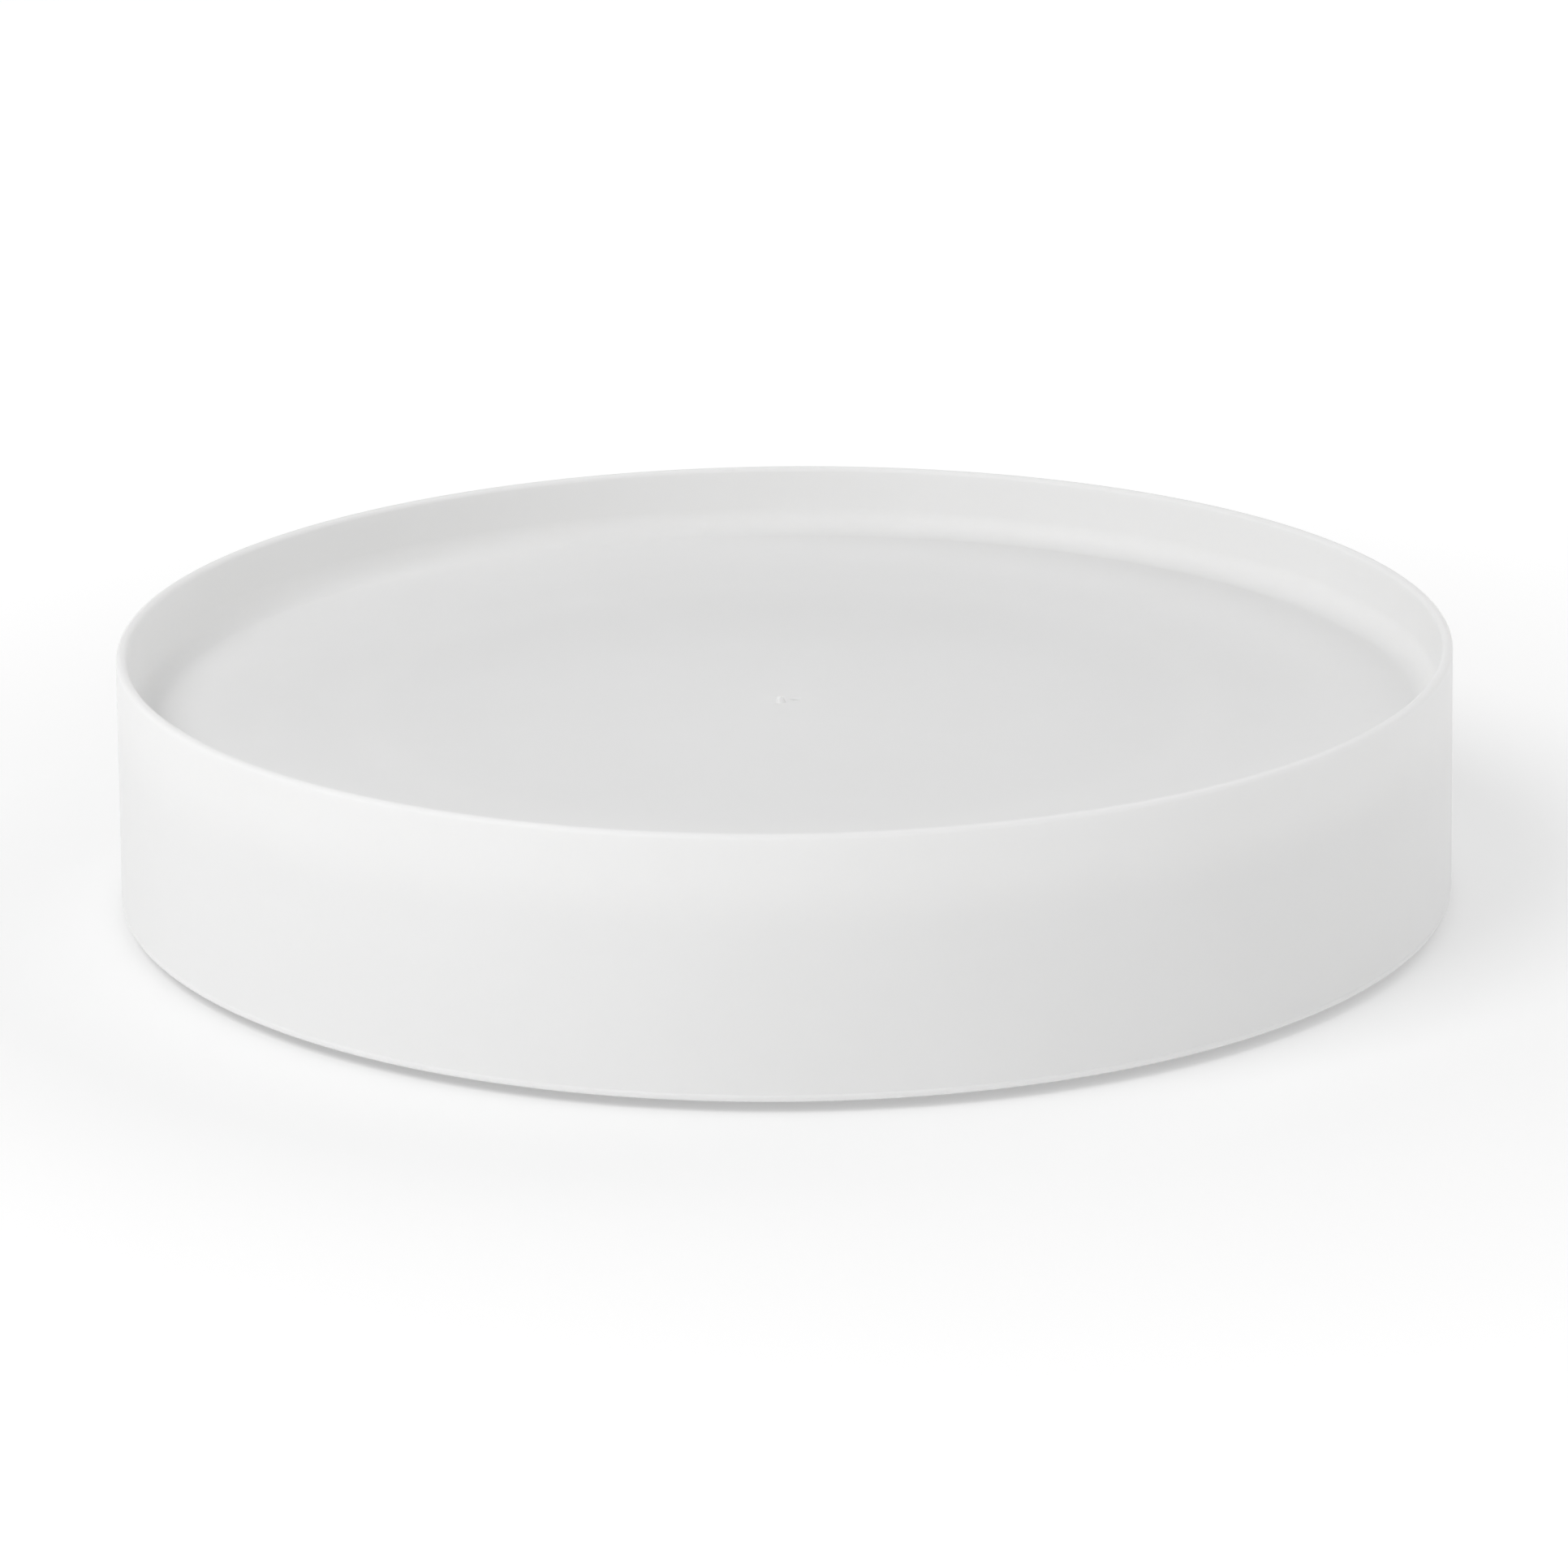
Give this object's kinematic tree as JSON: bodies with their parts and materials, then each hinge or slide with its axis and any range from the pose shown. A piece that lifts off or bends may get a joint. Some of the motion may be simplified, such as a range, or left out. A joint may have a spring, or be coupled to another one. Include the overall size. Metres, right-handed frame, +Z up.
{
  "type": "lazy susan turntable",
  "caption": "Round lazy susan turntable: a plain white tray with a raised rim and a deep skirt turns on a ring of balls over a hidden base with rubber feet.",
  "frame": {"origin": "on the turning axis, at the bottom of the feet, on the surface that the turntable stands on", "axes": "+Z up along the turning axis; the part is round about Z, and foot_1 and bearing_ball_01 lie on +X"},
  "size_m": [0.254, 0.254, 0.05],
  "materials": {
    "tray_plastic": "white polypropylene, satin, very fine moulded grain",
    "base_plastic": "white polypropylene, satin",
    "cage_plastic": "natural nylon, satin",
    "bush_plastic": "black acetal, slightly slick",
    "ball_steel": "polished steel",
    "zinc_steel": "bright zinc plate",
    "foot_rubber": "matte grey non-slip rubber"
  },
  "bodies": {
    "base": {"base": "base_plastic", "hub_bush": "bush_plastic", "foot_1": "foot_rubber", "foot_2": "foot_rubber", "foot_3": "foot_rubber", "foot_4": "foot_rubber", "foot_5": "foot_rubber", "foot_6": "foot_rubber"},
    "tray": {"tray": "tray_plastic", "screw_washer": "zinc_steel", "centre_screw": "zinc_steel"},
    "cage": {"ball_cage": "cage_plastic"},
    "bearing_ball_01": {"bearing_ball_01": "ball_steel"},
    "bearing_ball_02": {"bearing_ball_02": "ball_steel"},
    "bearing_ball_03": {"bearing_ball_03": "ball_steel"},
    "bearing_ball_04": {"bearing_ball_04": "ball_steel"},
    "bearing_ball_05": {"bearing_ball_05": "ball_steel"},
    "bearing_ball_06": {"bearing_ball_06": "ball_steel"},
    "bearing_ball_07": {"bearing_ball_07": "ball_steel"},
    "bearing_ball_08": {"bearing_ball_08": "ball_steel"},
    "bearing_ball_09": {"bearing_ball_09": "ball_steel"},
    "bearing_ball_10": {"bearing_ball_10": "ball_steel"},
    "bearing_ball_11": {"bearing_ball_11": "ball_steel"},
    "bearing_ball_12": {"bearing_ball_12": "ball_steel"},
    "bearing_ball_13": {"bearing_ball_13": "ball_steel"},
    "bearing_ball_14": {"bearing_ball_14": "ball_steel"},
    "bearing_ball_15": {"bearing_ball_15": "ball_steel"},
    "bearing_ball_16": {"bearing_ball_16": "ball_steel"}
  },
  "joints": [
    {"name": "tray_spin", "type": "hinge", "parent": "base", "child": "tray", "pos_m": [0, 0, 0.02882], "axis": [0, 0, 1], "continuous": true},
    {"name": "cage_spin", "type": "hinge", "parent": "base", "child": "cage", "pos_m": [0, 0, 0.02882], "axis": [0, 0, 1], "continuous": true},
    {"name": "bearing_ball_01_roll", "type": "hinge", "parent": "cage", "child": "bearing_ball_01", "pos_m": [0.08109, 0, 0.02882], "axis": [1, 0, 0], "continuous": true},
    {"name": "bearing_ball_02_roll", "type": "hinge", "parent": "cage", "child": "bearing_ball_02", "pos_m": [0.07492, 0.03103, 0.02882], "axis": [0.9239, 0.3827, 0], "continuous": true},
    {"name": "bearing_ball_03_roll", "type": "hinge", "parent": "cage", "child": "bearing_ball_03", "pos_m": [0.05734, 0.05734, 0.02882], "axis": [0.7071, 0.7071, 0], "continuous": true},
    {"name": "bearing_ball_04_roll", "type": "hinge", "parent": "cage", "child": "bearing_ball_04", "pos_m": [0.03103, 0.07492, 0.02882], "axis": [0.3827, 0.9239, 0], "continuous": true},
    {"name": "bearing_ball_05_roll", "type": "hinge", "parent": "cage", "child": "bearing_ball_05", "pos_m": [0, 0.08109, 0.02882], "axis": [0, 1, 0], "continuous": true},
    {"name": "bearing_ball_06_roll", "type": "hinge", "parent": "cage", "child": "bearing_ball_06", "pos_m": [-0.03103, 0.07492, 0.02882], "axis": [-0.3827, 0.9239, 0], "continuous": true},
    {"name": "bearing_ball_07_roll", "type": "hinge", "parent": "cage", "child": "bearing_ball_07", "pos_m": [-0.05734, 0.05734, 0.02882], "axis": [-0.7071, 0.7071, 0], "continuous": true},
    {"name": "bearing_ball_08_roll", "type": "hinge", "parent": "cage", "child": "bearing_ball_08", "pos_m": [-0.07492, 0.03103, 0.02882], "axis": [-0.9239, 0.3827, 0], "continuous": true},
    {"name": "bearing_ball_09_roll", "type": "hinge", "parent": "cage", "child": "bearing_ball_09", "pos_m": [-0.08109, 0, 0.02882], "axis": [-1, 0, 0], "continuous": true},
    {"name": "bearing_ball_10_roll", "type": "hinge", "parent": "cage", "child": "bearing_ball_10", "pos_m": [-0.07492, -0.03103, 0.02882], "axis": [-0.9239, -0.3827, 0], "continuous": true},
    {"name": "bearing_ball_11_roll", "type": "hinge", "parent": "cage", "child": "bearing_ball_11", "pos_m": [-0.05734, -0.05734, 0.02882], "axis": [-0.7071, -0.7071, 0], "continuous": true},
    {"name": "bearing_ball_12_roll", "type": "hinge", "parent": "cage", "child": "bearing_ball_12", "pos_m": [-0.03103, -0.07492, 0.02882], "axis": [-0.3827, -0.9239, 0], "continuous": true},
    {"name": "bearing_ball_13_roll", "type": "hinge", "parent": "cage", "child": "bearing_ball_13", "pos_m": [0, -0.08109, 0.02882], "axis": [0, -1, 0], "continuous": true},
    {"name": "bearing_ball_14_roll", "type": "hinge", "parent": "cage", "child": "bearing_ball_14", "pos_m": [0.03103, -0.07492, 0.02882], "axis": [0.3827, -0.9239, 0], "continuous": true},
    {"name": "bearing_ball_15_roll", "type": "hinge", "parent": "cage", "child": "bearing_ball_15", "pos_m": [0.05734, -0.05734, 0.02882], "axis": [0.7071, -0.7071, 0], "continuous": true},
    {"name": "bearing_ball_16_roll", "type": "hinge", "parent": "cage", "child": "bearing_ball_16", "pos_m": [0.07492, -0.03103, 0.02882], "axis": [0.9239, -0.3827, 0], "continuous": true}
  ],
  "couplings": [
    {"joint": "cage_spin", "follows": "tray_spin", "ratio": 0.5},
    {"joint": "bearing_ball_01_roll", "follows": "tray_spin", "ratio": -12.77},
    {"joint": "bearing_ball_02_roll", "follows": "tray_spin", "ratio": -12.77},
    {"joint": "bearing_ball_03_roll", "follows": "tray_spin", "ratio": -12.77},
    {"joint": "bearing_ball_04_roll", "follows": "tray_spin", "ratio": -12.77},
    {"joint": "bearing_ball_05_roll", "follows": "tray_spin", "ratio": -12.77},
    {"joint": "bearing_ball_06_roll", "follows": "tray_spin", "ratio": -12.77},
    {"joint": "bearing_ball_07_roll", "follows": "tray_spin", "ratio": -12.77},
    {"joint": "bearing_ball_08_roll", "follows": "tray_spin", "ratio": -12.77},
    {"joint": "bearing_ball_09_roll", "follows": "tray_spin", "ratio": -12.77},
    {"joint": "bearing_ball_10_roll", "follows": "tray_spin", "ratio": -12.77},
    {"joint": "bearing_ball_11_roll", "follows": "tray_spin", "ratio": -12.77},
    {"joint": "bearing_ball_12_roll", "follows": "tray_spin", "ratio": -12.77},
    {"joint": "bearing_ball_13_roll", "follows": "tray_spin", "ratio": -12.77},
    {"joint": "bearing_ball_14_roll", "follows": "tray_spin", "ratio": -12.77},
    {"joint": "bearing_ball_15_roll", "follows": "tray_spin", "ratio": -12.77},
    {"joint": "bearing_ball_16_roll", "follows": "tray_spin", "ratio": -12.77}
  ]
}
